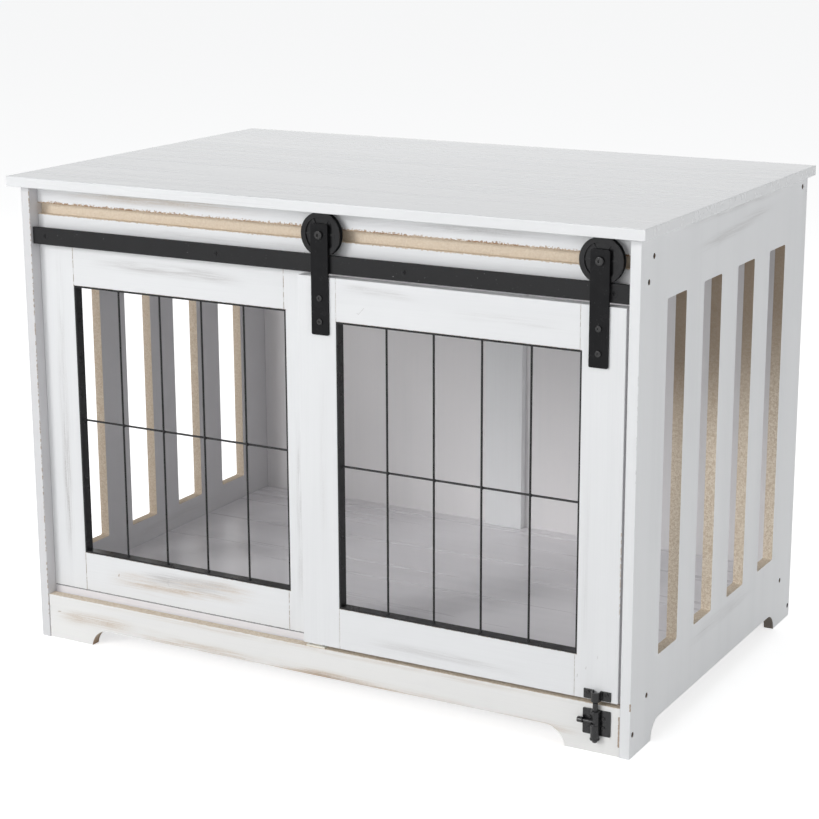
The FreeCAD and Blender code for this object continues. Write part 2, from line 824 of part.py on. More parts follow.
def latch_body():
    """Plate with a barrel; the barrel is open where the knob slides and turns."""
    plate = rounded_plate(latch_plate_width, latch_plate_height, latch_plate_thickness,
                          plate_corner)
    body = placed(plate, point(latch_x, apron_face, (plate_top + plate_bottom) / 2),
                  OUTWARD["front"])
    low = point(latch_x, bolt_y, plate_bottom - barrel_tail)
    high = point(latch_x, bolt_y, plate_top)
    barrel_radius = bolt_bore + barrel_wall
    barrel = rod(low, high, barrel_radius)
    behind = plate_face + latch_plate_thickness / 2
    barrel = barrel.cut(box(latch_x - barrel_radius, latch_x + barrel_radius,
                            behind, behind + barrel_radius, low.z - 1, high.z + 1))
    body = body.fuse(barrel).cut(rod(low - point(0, 0, 1), high + point(0, 0, 1), bolt_bore))
    half = knob_stem_radius + window_clearance
    window = box(latch_x - barrel_radius - 1, latch_x + half,
                 bolt_y - barrel_radius - 1, bolt_y + half,
                 knob_height - half, knob_height + bolt_throw + half)
    return body.cut([window] + latch_screw_set(True)).removeSplitter()


def bolt_rod():
    """Sliding bolt with a turned-down neck for the knob's ring."""
    bottom = point(latch_x, bolt_y, bolt_bottom)
    bolt = rod(bottom, point(latch_x, bolt_y, bolt_top), bolt_radius)
    bolt = bolt.makeChamfer(bolt_tip_chamfer, [e for e in bolt.Edges if e.Closed
                                               and e.Length < 7 * bolt_radius])
    half = ring_height / 2 + axial_play
    gap = ring(point(latch_x, bolt_y, knob_height - half),
               point(latch_x, bolt_y, knob_height + half), bolt_radius + 1, neck_radius)
    return bolt.cut(gap)


def bolt_knob():
    """Knob on a stem, with the ring that turns on the bolt's neck."""
    half = ring_height / 2
    centre = point(latch_x, bolt_y, knob_height)
    ring_blank = rod(centre - point(0, 0, half), centre + point(0, 0, half), bolt_radius)
    stem_end = point(latch_x - knob_reach + knob_length, bolt_y, knob_height)
    stem = rod(centre, stem_end, knob_stem_radius)
    tip = rod(stem_end, stem_end - point(knob_length, 0, 0), knob_radius)
    tip = tip.makeFillet(knob_round, [e for e in tip.Edges if e.Closed])
    neck_hole = rod(centre - point(0, 0, half + 1), centre + point(0, 0, half + 1),
                    neck_radius + running_clearance)
    return ring_blank.fuse([stem, tip]).cut(neck_hole).removeSplitter()


def keeper():
    """Strip with a raised loop on the door, which the bolt slides up into."""
    z0, z1 = keeper_bottom, keeper_bottom + keeper_height
    inner = bolt_radius + keeper_clearance
    outer = inner + keeper_thickness
    strip = box(latch_x - keeper_width / 2, latch_x + keeper_width / 2,
                door_face - keeper_thickness, door_face, z0, z1)

    def loop(radius, low, high):
        bow = rod(point(latch_x, bolt_y, low), point(latch_x, bolt_y, high), radius)
        legs = box(latch_x - radius, latch_x + radius, bolt_y, door_face, low, high)
        return bow.fuse(legs)

    body = strip.fuse(loop(outer, z0, z1)).cut(loop(inner, z0 - 1, z1 + 1))
    return body.cut(keeper_screw_set(True)).removeSplitter()


# ---- Floor guide -----------------------------------------------------------------
def guide_screw_set(holes=False):
    grow = fit_clearance if holes else 0.0
    screw = flush_screw(guide_screw_head_radius, guide_screw_radius,
                        guide_base_thickness + guide_screw_bite, grow)
    reach = guide_base_length / 2 - guide_screw_inset
    z = apron_height + guide_base_thickness
    return [placed(screw, point(guide_x + side * reach, door_middle, z), OUTWARD["up"])
            for side in (-1, 1)]


def floor_guide():
    """Foot on the apron with a fin that runs in the groove under the door."""
    top = apron_height + guide_base_thickness
    base = box(guide_x - guide_base_length / 2, guide_x + guide_base_length / 2,
               apron_face + guide_base_inset, apron_face + apron_thickness - guide_base_inset,
               apron_height, top)
    half = guide_fin_thickness / 2
    fin = box(guide_x - guide_fin_length / 2, guide_x + guide_fin_length / 2,
              door_middle - half, door_middle + half,
              top, door_bottom + guide_groove_depth - guide_fin_gap)
    return base.fuse(fin).cut(guide_screw_set(True)).removeSplitter()


def parts():
    side_screws = side_screw_set(sunk_screw())
    left_x, right_x = strap_centres
    group = Part.makeCompound
    return {
        "top_panel": top_panel(),
        "left_side_panel": side_panel("left"),
        "right_side_panel": side_panel("right"),
        "floor_panel": floor_panel(),
        "back_panel_left": back_panel("left"),
        "back_panel_right": back_panel("right"),
        "back_centre_post": centre_post(),
        "header_rail": header_rail(),
        "front_stretcher": front_stretcher(),
        "rear_stretcher": rear_stretcher(),
        "front_apron": front_apron(),
        "rear_plinth": rear_plinth(),
        "left_side_screws": group(side_screws["left"]),
        "right_side_screws": group(side_screws["right"]),
        "back_screws": group(back_screw_set()),
        "cam_discs": cams(),
        "cam_pins": cam_pins(),
        "fixed_left_stile": fixed_stile("left"),
        "fixed_right_stile": fixed_stile("right"),
        "fixed_top_rail": fixed.rail("top"),
        "fixed_bottom_rail": fixed.rail("bottom"),
        "fixed_grille_band": fixed.band(),
        "fixed_grille_wires": fixed.wires(),
        "fixed_grille_screws": group(fixed.band_screws()),
        "fixed_rail_dowels": group(fixed.dowels()),
        "fixed_panel_dowels": group(pin_dowel_set()),
        "track_bar": track_bar(),
        "track_spacers": track_spacers(),
        "track_screws": group(track_screw_set()),
        "floor_guide": floor_guide(),
        "floor_guide_screws": group(guide_screw_set()),
        "latch_body": latch_body(),
        "latch_screws": group(latch_screw_set()),
        "bolt_rod": bolt_rod(),
        "bolt_knob": bolt_knob(),
        "door_left_stile": door_stile("left"),
        "door_right_stile": door_stile("right"),
        "door_top_rail": door_rail("top"),
        "door_bottom_rail": door_rail("bottom"),
        "door_grille_band": door.band(),
        "door_grille_wires": door.wires(),
        "door_grille_screws": group(door.band_screws()),
        "door_rail_dowels": group(door.dowels()),
        "left_hanger_strap": hanger_strap(left_x),
        "right_hanger_strap": hanger_strap(right_x),
        "strap_screws": group(strap_screw_set()),
        "axle_bolts": axle_bolts(),
        "axle_spacers": axle_spacers(),
        "axle_nuts": axle_nuts(),
        "left_wheel": wheel(left_x),
        "left_wheel_bush": wheel_bush(left_x),
        "right_wheel": wheel(right_x),
        "right_wheel_bush": wheel_bush(right_x),
        "latch_keeper": keeper(),
        "keeper_screws": group(keeper_screw_set()),
    }


os.makedirs("parts", exist_ok=True)
for node, shape in parts().items():
    shape.exportStep("parts/" + node + ".step")
print("door travel to the left:", round(door_travel, 1), "mm")
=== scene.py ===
import math
from collections import namedtuple

import bmesh
import bpy
from mathutils import Matrix, Vector


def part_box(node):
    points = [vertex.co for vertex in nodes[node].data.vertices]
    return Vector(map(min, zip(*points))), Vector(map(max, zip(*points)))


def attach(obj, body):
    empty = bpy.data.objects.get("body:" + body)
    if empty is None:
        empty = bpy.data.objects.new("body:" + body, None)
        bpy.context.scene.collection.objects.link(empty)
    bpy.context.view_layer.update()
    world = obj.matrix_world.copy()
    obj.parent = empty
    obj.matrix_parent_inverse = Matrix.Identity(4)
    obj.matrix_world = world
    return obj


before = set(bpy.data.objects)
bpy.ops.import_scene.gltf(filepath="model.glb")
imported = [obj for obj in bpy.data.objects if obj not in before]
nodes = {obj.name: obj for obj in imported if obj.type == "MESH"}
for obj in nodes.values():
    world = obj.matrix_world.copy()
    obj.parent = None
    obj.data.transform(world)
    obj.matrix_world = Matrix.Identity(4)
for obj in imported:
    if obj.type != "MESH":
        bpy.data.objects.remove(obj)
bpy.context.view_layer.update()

# ---- Camera ----------------------------------------------------------------------
picture_width = 819                # pixels; the picture is square
sensor_width = 36.0
focal_pixels = 2086.9
camera_target = Vector((-0.0122, 0.0, 0.3463))
camera_distance = 3.158
camera_azimuth = math.radians(29.1)
camera_elevation = math.radians(14.5)
camera_roll = math.radians(-0.2)

# ---- Light -----------------------------------------------------------------------
ambient_low = 0.45                 # the studio's soft light, at the horizon and overhead
ambient_high = 0.27
ambient_colour = (0.97, 0.985, 1.0)
floor_size = 60.0
floor_colour = (0.84, 0.84, 0.84)
floor_glow = 0.65                  # seen by the camera and in reflections alone
key_place = Vector((-3.0, -5.9, 3.1))
key_size = 2.6
key_power = 188.0
front_place = Vector((-0.7, -4.0, 0.95))    # low, so that it reaches the crate's back
front_size = 1.6
front_power = 20.0
fill_place = Vector((3.4, -0.8, 1.3))
fill_size = 2.2
fill_power = 20.5
side_place = Vector((-3.4, 0.3, 1.1))   # shines through the left slots on the floor
side_size = 1.2
side_power = 24.0
back_place = Vector((-0.3, 1.2, 2.2))   # lights the top from behind
back_size = 1.0
back_power = 10.0
light_target = Vector((0.0, -0.1, 0.35))

# ---- Colours ---------------------------------------------------------------------
paint_light = (0.838, 0.846, 0.855)
paint_shade = (0.725, 0.733, 0.745)
paint_top = (0.775, 0.785, 0.795)       # painted shade: the top's upper face, darker than the front's white
paint_cream = (0.858, 0.853, 0.838)     # the apron's paint is a little warmer
paint_back = (0.872, 0.853, 0.858)      # back boards and floor lean to pink; the back's white is also lighter, as painted light on the dim inside
paint_floor = (0.855, 0.838, 0.862)
paint_inside_shade = (0.640, 0.632, 0.645)      # painted shade: inside faces, and partly the left panel's front edge
wear_grey = (0.50, 0.49, 0.485)
wear_beige = (0.60, 0.51, 0.42)
wear_brown = (0.36, 0.25, 0.17)
# painted shade in the gap between the fixed panel's foot and the floor's front edge
gap_shade_grey = (0.16, 0.16, 0.165)
seam_brown = (0.40, 0.31, 0.24)
board_light = (0.86, 0.775, 0.655)
board_dark = (0.60, 0.485, 0.36)
# deep brown on the header's chipped edges and low in the apron's arch cut
board_deep_brown = (0.30, 0.175, 0.095)
# painted shade in brown on the side panels' slot cuts
slot_shade_brown = (0.34, 0.26, 0.19)
# painted shade: dark brown on the side panels' arch cuts, near black on screw hole walls
arch_shade_brown = (0.20, 0.175, 0.16)
hole_shade = (0.035, 0.022, 0.02)
black_coat = (0.011, 0.011, 0.012)
black_oxide = (0.010, 0.010, 0.011)
black_plastic = (0.010, 0.010, 0.011)
dust_colour = (0.22, 0.22, 0.22)
coat_lighter = (0.017, 0.017, 0.018)    # patches of the powder coat
oxide_lighter = (0.024, 0.022, 0.020)
rub_and_highlight_colour = (0.085, 0.085, 0.088)      # coat rubbed thin on edges, and a painted highlight along them
zinc_colour = (0.62, 0.62, 0.60)
beech_colour = (0.70, 0.52, 0.33)
beech_dark = (0.55, 0.38, 0.22)
brass_colour = (0.72, 0.53, 0.25)
pale_colour = (0.84, 0.80, 0.72)

# ---- Places that the materials follow --------------------------------------------
header_low, header_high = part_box("header_rail")
apron_low, apron_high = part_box("front_apron")
side_low, side_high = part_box("right_side_panel")
groove_bottom = header_low.z + 0.042
groove_top = groove_bottom + 0.016
arch_top = 0.0275
slot_zone = (0.100, 0.620)         # heights between which a side panel has its slots
slot_reach = (-0.230, 0.250)       # and places along Y
skin = 0.0008                      # depth of the painted skin at a board's edge
arch_inset = 0.05                  # the arch starts this far from a board's ends
hole_wall = (0.0004, 0.0022)       # how deep below a face a screw hole's wall gets painted shade
hole_margins = (0.003, 0.002, 0.006, 0.003)     # front, back, foot and top of a side panel
facing_limit = 0.7                 # a face looks along an axis over this share of its normal
across_limit = 0.45                # and away from it under this one
facing_blur = 0.1
brush_depth = 0.00005              # height of a full brush stroke
brush_strength = 0.6
shade_share = 0.94                  # how fully the darker white replaces the first on faces painted in shade
peel_depth = 0.00006               # depths of orange peel, film, tool marks and pores
film_depth = 0.00004
fine_depth = 0.00003
pore_depth = 0.0001
coat_edge = 0.0006                 # radii of worn edges
fastener_edge = 0.0004
metal_edge = 0.0002
seam_reach = 0.474                 # half the width between the side panels, and a little more
fixed_reach = 0.020                # right end of the fixed panel, and a little more
wire_radius = 0.0015
wire_count = 4                     # upright wires in each grille
# Profiles of weld beads, as (height, radius) from where a wire meets the band or a wire.
foot_bead = ((-0.0003, 0.0031), (0.0002, 0.0029), (0.0008, 0.0024), (0.0016, 0.0019),
             (0.0028, 0.00155))
cross_bead = ((-0.0021, 0.0008), (-0.0016, 0.0019), (-0.0006, 0.0026), (0.0006, 0.0026),
              (0.0016, 0.0019), (0.0021, 0.0008))
barrel_bands = ((0.0212, 0.0236), (0.0402, 0.0428), (0.0594, 0.0618))
band_root = 0.0003                 # a band starts this far inside the barrel
band_rise = 0.0006
band_shoulder = 0.6                # its sides rise to this share, then slope for band_slope
band_slope = 0.0004
band_half_turn = math.radians(138)
band_steps = 40
rail_width = 0.060
stile_lip = 0.003                  # right stiles reach this far past the opening at the rails


# ---- Node trees ------------------------------------------------------------------
class Shader:
    """One material's node tree, with short calls for the nodes that the materials share."""

    def __init__(self, name):
        self.material = bpy.data.materials.new(name)
        self.material.use_nodes = True
        self.tree = self.material.node_tree
        self.tree.nodes.clear()
        coordinates = self.add("TexCoord")
        self.place = coordinates.outputs["Object"]
        self.x, self.y, self.z = self.split(self.place)
        self.facing = dict(zip("xyz", self.split(coordinates.outputs["Normal"])))

    def add(self, kind, inputs=None, **settings):
        made = self.tree.nodes.new("ShaderNode" + kind)
        for key, value in settings.items():
            setattr(made, key, value)
        for key, value in (inputs or {}).items():
            self.feed(made.inputs[key], value)
        return made

    def feed(self, socket, value):
        if isinstance(value, bpy.types.NodeSocket):
            self.tree.links.new(value, socket)
        elif socket.type == "RGBA":
            socket.default_value = (*value, 1.0)
        else:
            socket.default_value = value

    def split(self, vector):
        return tuple(self.add("SeparateXYZ", {0: vector}).outputs)

    def along(self, axis):
        return {"x": self.x, "y": self.y, "z": self.z}[axis]

    def math(self, operation, *values):
        return self.add("Math", dict(enumerate(values)), operation=operation).outputs[0]

    def away(self, value, centre):
        """Distance of a value from a centre."""
        return self.math("ABSOLUTE", self.math("SUBTRACT", value, centre))

    def ease(self, value, low, high, start=0.0, end=1.0):
        """Smooth step of a value from low to high, mapped to start and end."""
        inputs = {"Value": value, "From Min": low, "From Max": high,
                  "To Min": start, "To Max": end}
        made = self.add("MapRange", inputs, interpolation_type="SMOOTHSTEP")
        return made.outputs["Result"]

    def over(self, value, limit, blur=0.0001):
        return self.ease(self.math("SUBTRACT", value, limit), -blur, blur)

    def under(self, value, limit, blur=0.0001):
        return self.ease(self.math("SUBTRACT", value, limit), -blur, blur, 1.0, 0.0)

    def between(self, value, low, high, blur=0.0001):
        return self.all_of(self.over(value, low, blur), self.under(value, high, blur))

    def all_of(self, *masks):
        result = masks[0]
        for mask in masks[1:]:
            result = self.math("MULTIPLY", result, mask)
        return result

    def any_of(self, *masks):
        result = masks[0]
        for mask in masks[1:]:
            result = self.math("MAXIMUM", result, mask)
        return result

    def noise(self, frequency, detail=2.0, roughness=0.5, seed=0.0):
        """Noise with its own frequency, in waves per metre, along X, Y and Z."""
        moved = self.add("Mapping", {"Vector": self.place, "Scale": frequency,
                                     "Location": (seed, 1.7 * seed, 0.6 * seed)})
        inputs = {"Vector": moved.outputs[0], "Scale": 1.0, "Detail": detail,
                  "Roughness": roughness}
        return self.add("TexNoise", inputs).outputs["Fac"]

    def mix(self, share, first, second):
        """Colour that goes from first to second as share goes from 0 to 1."""
        made = self.add("Mix", {"Factor": share}, data_type="RGBA")
        sockets = [socket for socket in made.inputs if socket.type == "RGBA"]
        for socket, value in zip(sockets, (first, second)):
            self.feed(socket, value)
        return next(socket for socket in made.outputs if socket.type == "RGBA")

    def bump(self, height, depth, strength=1.0, normal=None):
        inputs = {"Height": height, "Distance": depth, "Strength": strength}
        if normal:
            inputs["Normal"] = normal
        return self.add("Bump", inputs).outputs[0]

    def worn_edge(self, radius):
        """Normal that is rounded where faces meet, as on a stamped or turned piece."""
        return self.add("Bevel", {"Radius": radius}, samples=6).outputs[0]

    def edge_mask(self, rounded):
        """Where a rounded normal leaves the face's own normal: along edges."""
        own = self.add("NewGeometry").outputs["Normal"]
        made = self.add("VectorMath", {0: rounded, 1: own}, operation="DOT_PRODUCT")
        return self.ease(made.outputs["Value"], 0.80, 0.985, 1.0, 0.0)

    def finish(self, colour, roughness, normal=None, **constants):
        inputs = {"Base Color": colour, "Roughness": roughness}
        if normal:
            inputs["Normal"] = normal
        for key, value in constants.items():
            inputs[key.replace("_", " ")] = value
        surface = self.add("BsdfPrincipled", inputs)
        output = self.add("OutputMaterial")
        self.tree.links.new(surface.outputs[0], output.inputs["Surface"])
        return self.material


def stretched(axis, along, across):
    """Frequencies of a grain that runs along an axis."""
    return tuple(along if name == axis else across for name in "xyz")


# ---- Painted boards --------------------------------------------------------------
# A smudge is a worn or thinly painted stretch: it lies along the board's grain, about a
# line given by two places (along, across), and is as wide as its spread on each side.
Smudge = namedtuple("Smudge", "grain across start end spread strength colour")

# A mark is a seam, scratch or chip: a thin line between two places (x, z) on a board's
# front. Gaps says how much of it is missing, from 0 to 1.
Mark = namedtuple("Mark", "start end width strength colour gaps", defaults=(0.0,))


def smudge_mask(s, spot, seed):
    """How strongly a smudge shows: soft at its ends and sides, and broken up into streaks."""
    along, across = s.along(spot.grain), s.along(spot.across)
    (a0, c0), (a1, c1) = spot.start, spot.end
    middle, half = (a0 + a1) / 2, (a1 - a0) / 2
    slope = (c1 - c0) / (a1 - a0)
    line = s.math("MULTIPLY_ADD", s.math("SUBTRACT", along, a0), slope, c0)
    waver = s.noise(stretched(spot.grain, 7, 7), 3, 0.5, seed + 11)
    line = s.math("ADD", line, s.math("MULTIPLY", s.math("SUBTRACT", waver, 0.5), spot.spread))
    beside = s.math("ABSOLUTE", s.math("SUBTRACT", across, line))
    body = s.all_of(s.ease(s.away(along, middle), half * 0.35, half, 1.0, 0.0),
                    s.ease(beside, 0.0, spot.spread, 1.0, 0.0))
    streaks = s.ease(s.noise(stretched(spot.grain, 16, 520), 4, 0.62, seed + 5), 0.26, 0.62)
    patches = s.ease(s.noise(stretched(spot.grain, 6, 95), 3, 0.5, seed + 2), 0.26, 0.60)
    speckle = s.ease(s.noise((900, 900, 900), 2, 0.6, seed), 0.40, 0.60, 0.6, 1.0)
    return s.math("MULTIPLY", s.all_of(body, streaks, patches, speckle), spot.strength)


def mark_mask(s, mark, front, seed):
    """How strongly a mark shows on a board whose front face lies at Y = front."""
    (x0, z0), (x1, z1) = mark.start, mark.end
    dx, dz = x1 - x0, z1 - z0
    right, up = s.math("SUBTRACT", s.x, x0), s.math("SUBTRACT", s.z, z0)
    share = s.math("MULTIPLY_ADD", right, dx, s.math("MULTIPLY", up, dz))
    share = s.math("DIVIDE", share, dx * dx + dz * dz)
    share = s.math("MAXIMUM", s.math("MINIMUM", share, 1.0), 0.0)
    right = s.math("SUBTRACT", right, s.math("MULTIPLY", share, dx))
    up = s.math("SUBTRACT", up, s.math("MULTIPLY", share, dz))
    distance = s.math("SQRT", s.math("MULTIPLY_ADD", right, right, s.math("MULTIPLY", up, up)))
    edge = s.ease(s.noise((520, 520, 520), 3, 0.6, seed), 0.35, 0.65,
                  0.6 * mark.width, 1.3 * mark.width)
    drawn = s.all_of(s.under(distance, edge, 0.4 * mark.width),
                     s.under(s.y, front + 0.0015))
    if mark.gaps:
        level = 0.36 + 0.28 * mark.gaps
        worn = s.noise((150, 150, 150), 3, 0.65, seed + 3)
        drawn = s.all_of(drawn, s.ease(worn, level - 0.04, level + 0.04))
    return s.math("MULTIPLY", drawn, mark.strength)


def bare_fibreboard(s, seed, contrast):
    """Colour of a cut edge of fibreboard: pressed fibres, light and dark."""
    fibres = s.noise((720, 720, 720), 3, 0.7, seed)
    clumps = s.noise((260, 260, 260), 2, 0.6, seed + 4)
    flecks = s.ease(s.math("MULTIPLY_ADD", fibres, 0.65, s.math("MULTIPLY", clumps, 0.35)),
                    0.5 - contrast, 0.5 + contrast)
    return s.mix(flecks, board_dark, board_light), fibres


def painted_board(name, grain, seed=0.0, front=0.0, bare=None, smudges=(), marks=(), shaded_faces=None,
                  white=paint_light, shaded_white=paint_inside_shade, roughness=0.40, grain_share=1.0,
                  relief=1.0, contrast=0.16):
    """White paint brushed along a fibreboard.

    bare gives the masks of cut board and of what is darker there, with its colour: brown marks,
    and painted shade on the side panels' arches, holes and slots; the shaded-face mask gives the
    faces painted in the darker second white as shade, such as inside faces and the top's upper face."""
    s = Shader(name)
    fine = s.noise(stretched(grain, 8, 480), 3, 0.62, seed)
    coarse = s.noise(stretched(grain, 1.5, 42), 3, 0.55, seed + 3)
    cloud = s.noise((5, 5, 5), 2, 0.5, seed + 7)
    tone = s.math("ADD", s.ease(fine, 0.42, 0.78, 0.0, 0.16 * grain_share),
                  s.ease(coarse, 0.44, 0.74, 0.0, 0.20 * grain_share))
    end_face = s.over(s.math("ABSOLUTE", s.facing[grain]), facing_limit, facing_blur)
    tone = s.math("MULTIPLY", tone, s.math("SUBTRACT", 1.0, end_face))
    tone = s.math("ADD", tone, s.ease(cloud, 0.4, 0.7, 0.0, 0.10))
    colour = s.mix(tone, white, paint_shade)
    # painted shade: shaded faces take the darker second white
    if shaded_faces:
        colour = s.mix(s.math("MULTIPLY", shaded_faces(s), shade_share), colour, shaded_white)
    for count, spot in enumerate(smudges):
        colour = s.mix(smudge_mask(s, spot, seed + 13 * count), colour, spot.colour)
    for count, mark in enumerate(marks):
        colour = s.mix(mark_mask(s, mark, front, seed + 7 * count), colour, mark.colour)
    height = s.math("ADD", fine, s.math("MULTIPLY", coarse, 1.5))
    gloss = s.ease(coarse, 0.3, 0.7, roughness - 0.04, roughness + 0.05)
    if bare:
        shown, darkened, darkened_colour = bare(s)
        raw, fibres = bare_fibreboard(s, seed, contrast)
        colour = s.mix(shown, colour, raw)
        # darker share: brown on the header's chips and the apron's arch, painted shade on the side
        # panels
        colour = s.mix(darkened, colour, darkened_colour)
        gloss = s.math("ADD", gloss, s.math("MULTIPLY", shown, 0.4))
        height = s.math("ADD", height, s.math("MULTIPLY", s.math("MULTIPLY", fibres, shown), 6.0))
    normal = s.bump(height, brush_depth * relief, brush_strength) if relief else None
    return s.finish(colour, gloss, normal)


def ragged(s, seed, low, high, frequency=330):
    """A distance that jumps about from place to place, as a chipped edge does."""
    rough = s.noise((frequency, frequency, frequency), 4, 0.7, seed)
    return s.ease(rough, 0.40, 0.68, low, high)


def bare_side(s):
    """Slots and the floor arch of a side panel are cut after painting; the arch's cut and the
    screw holes' walls are painted dark as shade."""
    front_gap, back_gap, foot_gap, top_gap = hole_margins
    cut = s.under(s.math("ABSOLUTE", s.facing["x"]), across_limit, facing_blur)
    inner = s.between(s.y, side_low.y + skin, side_high.y - skin)
    slots = s.all_of(s.between(s.z, *slot_zone), s.between(s.y, *slot_reach))
    arch = s.all_of(s.under(s.z, arch_top),
                    s.between(s.y, side_low.y + arch_inset, side_high.y - arch_inset))
    holes = s.all_of(cut, s.over(s.math("ABSOLUTE", s.x), side_high.x - hole_wall[1]),
                     s.under(s.math("ABSOLUTE", s.x), side_high.x - hole_wall[0]),
                     s.between(s.y, side_low.y + front_gap, side_high.y - back_gap),
                     s.between(s.z, foot_gap, side_high.z - top_gap),
                     s.math("SUBTRACT", 1.0, s.any_of(slots, arch)))
    # painted shade: screw hole walls fully, the arch's cut at 0.8
    dark = s.math("ADD", holes, s.math("MULTIPLY", s.all_of(cut, arch), 0.8))
    return s.all_of(cut, inner, s.any_of(slots, arch)), dark, s.mix(holes, arch_shade_brown, hole_shade)


def bare_slots(s, low_share, high_share):
    """Painted shade in brown on a side panel's slot cuts, from low_share at a slot's foot to
    high_share at its top.
    """
    shown, dark, darkened_colour = bare_side(s)
    share = s.ease(s.z, 0.34, 0.53, low_share, high_share)
    # painted shade on the slot cuts above the arch, growing with height
    slot_shade = s.all_of(shown, s.over(s.z, arch_top), share)
    return shown, s.any_of(dark, slot_shade), s.mix(s.over(s.z, arch_top), darkened_colour, slot_shade_brown)


def bare_left_side(s):
    """The left panel's slots get painted shade in brown, about as strong at the foot as at the top.
    """
    return bare_slots(s, 0.50, 0.55)


def bare_right_side(s):
    """The right panel's slots get painted shade in brown, faint at the foot and strong at the top.
    """
    return bare_slots(s, 0.10, 0.85)


def shaded_side_faces(s):
    """Faces painted in shade: the inner face of a side panel, and partly the left one's front edge.
    """
    front_edge = s.all_of(s.under(s.y, side_low.y + skin), s.under(s.x, 0.0))
    return s.any_of(s.under(s.math("ABSOLUTE", s.x), side_low.x + skin),
                    s.math("MULTIPLY", front_edge, 0.55))


def upper_face(s):
    """The face of a board that looks up."""
    return s.over(s.facing["z"], facing_limit, facing_blur)


def bare_header(s):
    """The routed groove, with paint that chipped off along its edges, dark brown on the chips."""
    front = s.under(s.y, header_low.y + skin)
    inside = s.all_of(s.over(s.y, header_low.y + skin), s.under(s.y, header_high.y - skin),
                      s.between(s.z, groove_bottom - skin, groove_top + skin))
    above = s.math("SUBTRACT", s.z, groove_top)
    below = s.math("SUBTRACT", groove_bottom, s.z)
    top_chips = s.all_of(s.over(above, -0.0014), s.under(above, ragged(s, 2.0, 0.0010, 0.0042)))
    low_chips = s.all_of(s.over(below, -0.0010), s.under(below, ragged(s, 9.0, 0.0002, 0.0018)))
    flecks = s.ease(s.noise((480, 480, 480), 3, 0.7, 5.0), 0.50, 0.60, 1.0, 0.15)
    long_run = s.ease(s.noise((14, 14, 14), 3, 0.6, 8.0), 0.36, 0.56, 0.65, 1.0)
    darkened = s.all_of(front, s.any_of(top_chips, s.math("MULTIPLY", low_chips, 0.35)), flecks,
                     long_run)
    shown = s.any_of(inside, s.all_of(front, s.any_of(
        s.between(s.z, groove_bottom, groove_top), top_chips, low_chips)))
    return shown, darkened, board_deep_brown


def bare_apron(s):
    """The sawn top edge of the apron and the underside of its arch."""
    top = s.over(s.math("ADD", s.z, ragged(s, 3.0, 0.0, 0.0007)), apron_high.z - 0.0001)
    arch = s.all_of(s.under(s.math("ABSOLUTE", s.facing["y"]), across_limit, facing_blur),
                    s.under(s.z, arch_top),
                    s.between(s.x, apron_low.x + arch_inset, apron_high.x - arch_inset))
    # the apron's arch cut is darker towards the floor
    darker_low = s.all_of(arch, s.ease(s.z, 0.0, 0.020, 0.75, 0.15))
    return s.any_of(top, arch), darker_low, board_deep_brown


# ---- Metal, plastic and the rest -------------------------------------------------
def coated_steel(name, roughness=0.46, seed=0.0, shine=0.3, dust=1.0, rub_and_highlight=0.4):
    """Matt black powder coat with fine orange peel, soft edges lightened as wear and painted
    highlight, and a little dust.
    """
    s = Shader(name)
    peel = s.noise((850, 850, 850), 3, 0.55, seed)
    patches = s.noise((38, 38, 38), 3, 0.6, seed + 2)
    grains = s.over(s.noise((420, 420, 420), 1, 0.5, seed + 6), 0.775, 0.02)
    colour = s.mix(s.ease(patches, 0.35, 0.7, 0.0, 0.5), black_coat, coat_lighter)
    colour = s.mix(s.math("MULTIPLY", grains, 0.8 * dust), colour, dust_colour)
    rounded = s.worn_edge(coat_edge)
    # edges lightened: wear, and a painted highlight
    rubbed_and_highlighted = s.math("MULTIPLY", s.edge_mask(rounded), s.ease(patches, 0.3, 0.65, rub_and_highlight, 0.3 * rub_and_highlight))
    colour = s.mix(rubbed_and_highlighted, colour, rub_and_highlight_colour)
    gloss = s.ease(patches, 0.3, 0.7, roughness - 0.05, roughness + 0.08)
    return s.finish(colour, gloss, s.bump(peel, peel_depth, 0.5, rounded),
                    Specular_IOR_Level=shine)


def fastener_steel(name):
    """Black oxide on screws and nuts: darker and glossier than the powder coat."""
    s = Shader(name)
    film = s.noise((300, 300, 300), 3, 0.6)
    colour = s.mix(s.ease(film, 0.4, 0.7, 0.0, 0.4), black_oxide, oxide_lighter)
    rounded = s.worn_edge(fastener_edge)
    # edges lightened: wear, and a painted highlight
    colour = s.mix(s.math("MULTIPLY", s.edge_mask(rounded), 0.5), colour, rub_and_highlight_colour)
    return s.finish(colour, s.ease(film, 0.3, 0.7, 0.16, 0.26),
                    s.bump(film, film_depth, 0.4, rounded), Specular_IOR_Level=0.4)


def moulded(name, colour, roughness, seed=0.0, shine=0.5, rub_and_highlight=0.0):
    """Moulded plastic: an even colour, a fine skin and slightly softened edges, lightened as wear
    and painted highlight.
    """
    s = Shader(name)
    skin_grain = s.noise((1400, 1400, 1400), 2, 0.5, seed)
    flow = s.noise((55, 55, 55), 2, 0.5, seed + 1)
    lighter = tuple(min(1.0, channel * 1.25 + 0.003) for channel in colour)
    tint = s.mix(s.ease(flow, 0.3, 0.7), colour, lighter)
    gloss = s.ease(flow, 0.3, 0.7, roughness - 0.04, roughness + 0.05)
    rounded = s.worn_edge(coat_edge)
    # edges lightened: wear, and a painted highlight
    tint = s.mix(s.math("MULTIPLY", s.edge_mask(rounded), rub_and_highlight), tint, rub_and_highlight_colour)
    return s.finish(tint, gloss, s.bump(skin_grain, fine_depth, 0.5, rounded),
                    Specular_IOR_Level=shine)


